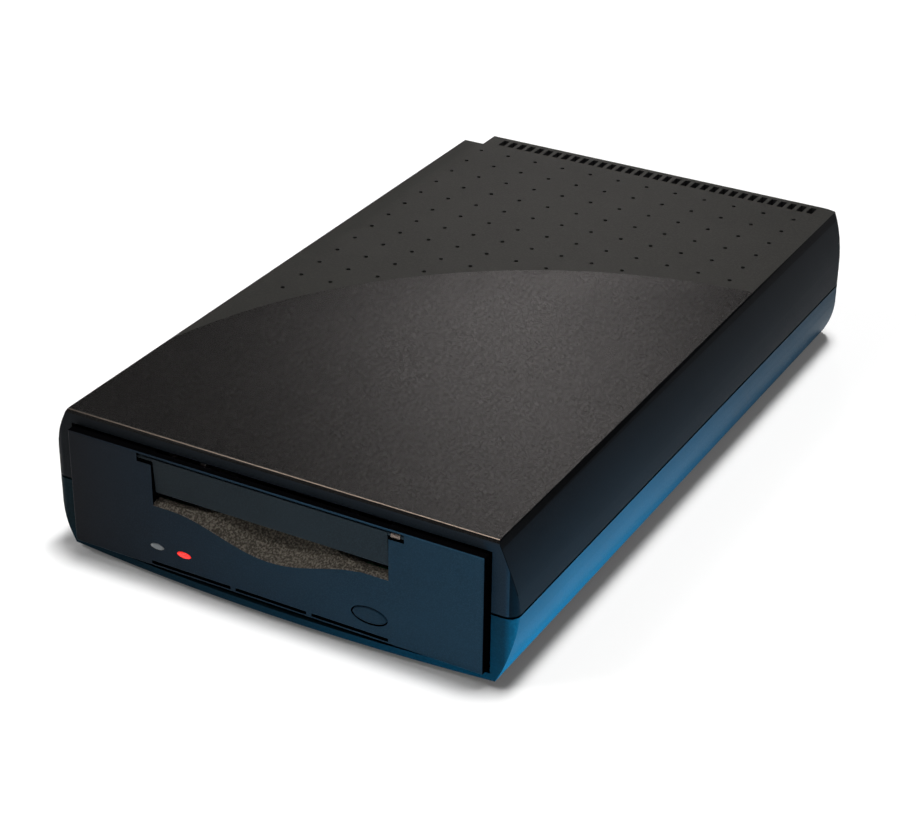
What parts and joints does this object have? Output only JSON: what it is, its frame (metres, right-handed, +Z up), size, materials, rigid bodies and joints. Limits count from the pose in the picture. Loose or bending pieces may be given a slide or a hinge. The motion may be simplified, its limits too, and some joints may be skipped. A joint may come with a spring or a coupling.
{
  "type": "data tape drive",
  "caption": "Desktop external tape drive: bowed two-part case, drop-in cassette door with finger scoop, eject button, vented top and rear fan.",
  "frame": {"origin": "centre of the footprint, on the surface under the feet", "axes": "+X to the right seen from the front, +Y to the rear, +Z up"},
  "size_m": [0.173, 0.2832, 0.053],
  "materials": {
    "case_top_plastic": "fine-grained, textured front field",
    "case_bottom_plastic": "satin, fine grain",
    "bezel_plastic": "satin with a rough finger scoop",
    "door_plastic": "satin",
    "rubber": "matt",
    "lens_clear": "clear",
    "lens_red": "clear red, lit",
    "steel": "zinc plated sheet",
    "screw_steel": "black zinc",
    "aluminium": "machined",
    "board": "solder mask",
    "inner_plastic": "moulded",
    "gear_plastic": "moulded acetal",
    "pins_nickel": "nickel plated",
    "panel_steel": "powder coated",
    "cable": "flat cable and leads"
  },
  "bodies": {
    "case": {"top_shell": "case_top_plastic", "bottom_shell": "case_bottom_plastic", "rubber_feet": "rubber", "case_screws": "screw_steel", "front_bezel": "bezel_plastic", "door_spring": "steel", "eject_switch": "inner_plastic", "led_window_clear": "lens_clear", "led_window_red": "lens_red", "front_board": "board", "drive_chassis": "aluminium", "drive_cover": "steel", "drive_brackets": "steel", "drive_screws": "steel", "controller_board": "board", "holder_guides": "steel", "reel_motors": "steel", "capstan_motor": "steel", "drum_base": "aluminium", "loading_motor": "steel", "rear_panel": "panel_steel", "fan_frame": "inner_plastic", "fan_screws": "screw_steel", "power_inlet": "inner_plastic", "inlet_pins": "pins_nickel", "switch_frame": "inner_plastic", "usb_socket": "pins_nickel", "power_board": "board", "transformer": "inner_plastic", "capacitors": "aluminium", "heat_sink": "aluminium", "interface_board": "board", "drive_connector": "inner_plastic", "power_connector": "inner_plastic", "data_ribbon": "cable", "power_lead": "cable"},
    "door": {"door_flap": "door_plastic"},
    "eject_button": {"eject_button": "bezel_plastic", "switch_plunger": "inner_plastic"},
    "power_rocker": {"power_rocker": "inner_plastic"},
    "fan_rotor": {"fan_rotor": "inner_plastic"},
    "cassette_holder": {"cassette_holder": "steel"},
    "supply_reel": {"reel_table_supply": "inner_plastic"},
    "takeup_reel": {"reel_table_takeup": "inner_plastic"},
    "capstan": {"capstan": "steel"},
    "head_drum": {"drum_upper": "aluminium"},
    "pinch_arm": {"pinch_arm": "steel"},
    "pinch_roller": {"pinch_roller": "rubber"},
    "loading_slider": {"loading_slider": "steel"},
    "loading_gear": {"loading_gear": "gear_plastic"},
    "loading_pinion": {"loading_pinion": "gear_plastic"},
    "guide_arm_left": {"guide_arm_left": "steel", "guide_post_left": "pins_nickel"},
    "guide_arm_right": {"guide_arm_right": "steel", "guide_post_right": "pins_nickel"}
  },
  "joints": [
    {"name": "door_swing", "type": "hinge", "parent": "case", "child": "door", "pos_m": [0, -0.13955, 0.0457], "axis": [1, 0, 0], "range_deg": [0, 80], "stiffness_Nm_per_rad": 0.003, "springref_deg": -20.05},
    {"name": "eject_press", "type": "slide", "parent": "case", "child": "eject_button", "axis": [0, 1, 0], "range_m": [0, 0.0015], "stiffness_N_per_m": 200, "springref_m": -0.0015},
    {"name": "power_rock", "type": "hinge", "parent": "case", "child": "power_rocker", "pos_m": [-0.01401, 0.13605, 0.0275], "axis": [0, 0, 1], "range_deg": [-16, 0]},
    {"name": "fan_spin", "type": "hinge", "parent": "case", "child": "fan_rotor", "pos_m": [0.04502, 0.13, 0.0275], "axis": [0, 1, 0], "continuous": true},
    {"name": "supply_spin", "type": "hinge", "parent": "case", "child": "supply_reel", "pos_m": [-0.015, -0.093, 0.017], "axis": [0, 0, 1], "continuous": true},
    {"name": "takeup_spin", "type": "hinge", "parent": "case", "child": "takeup_reel", "pos_m": [0.015, -0.093, 0.017], "axis": [0, 0, 1], "continuous": true},
    {"name": "capstan_spin", "type": "hinge", "parent": "case", "child": "capstan", "pos_m": [0.024, -0.06, 0.017], "axis": [0, 0, 1], "continuous": true},
    {"name": "drum_spin", "type": "hinge", "parent": "case", "child": "head_drum", "pos_m": [0, -0.032, 0.02], "axis": [0, 0.0958, 0.9954], "continuous": true},
    {"name": "pinch_swing", "type": "hinge", "parent": "case", "child": "pinch_arm", "pos_m": [0.044, -0.06, 0.019], "axis": [0, 0, 1], "range_deg": [0, 14], "stiffness_Nm_per_rad": 0.01, "springref_deg": -11.46},
    {"name": "pinch_spin", "type": "hinge", "parent": "pinch_arm", "child": "pinch_roller", "pos_m": [0.03014, -0.05495, 0.025], "axis": [0, 0, 1], "continuous": true},
    {"name": "loading_turn", "type": "hinge", "parent": "case", "child": "loading_gear", "pos_m": [0.018, 0.0052, 0.017], "axis": [0, 0, -1], "range_deg": [0, 41.9]},
    {"name": "pinion_turn", "type": "hinge", "parent": "case", "child": "loading_pinion", "pos_m": [0.032, 0.0052, 0.017], "axis": [0, 0, 1], "range_deg": [0, 104.7]},
    {"name": "slider_travel", "type": "slide", "parent": "case", "child": "loading_slider", "axis": [0, 1, 0], "range_m": [0, 0.0073]},
    {"name": "arm_left_swing", "type": "hinge", "parent": "case", "child": "guide_arm_left", "pos_m": [-0.042, -0.044, 0.017], "axis": [0, 0, 1], "range_deg": [0, 35]},
    {"name": "arm_right_swing", "type": "hinge", "parent": "case", "child": "guide_arm_right", "pos_m": [0.042, -0.044, 0.017], "axis": [0, 0, -1], "range_deg": [0, 35]},
    {"name": "holder_drop", "type": "slide", "parent": "case", "child": "cassette_holder", "axis": [0, 0, -1], "range_m": [0, 0.0085]}
  ],
  "couplings": [
    {"joint": "loading_turn", "follows": "slider_travel", "rad_per_m": 100},
    {"joint": "pinion_turn", "follows": "slider_travel", "rad_per_m": 250},
    {"joint": "arm_left_swing", "follows": "slider_travel", "rad_per_m": 83.333},
    {"joint": "arm_right_swing", "follows": "slider_travel", "rad_per_m": 83.333},
    {"joint": "holder_drop", "follows": "slider_travel", "ratio": 1.1644}
  ]
}
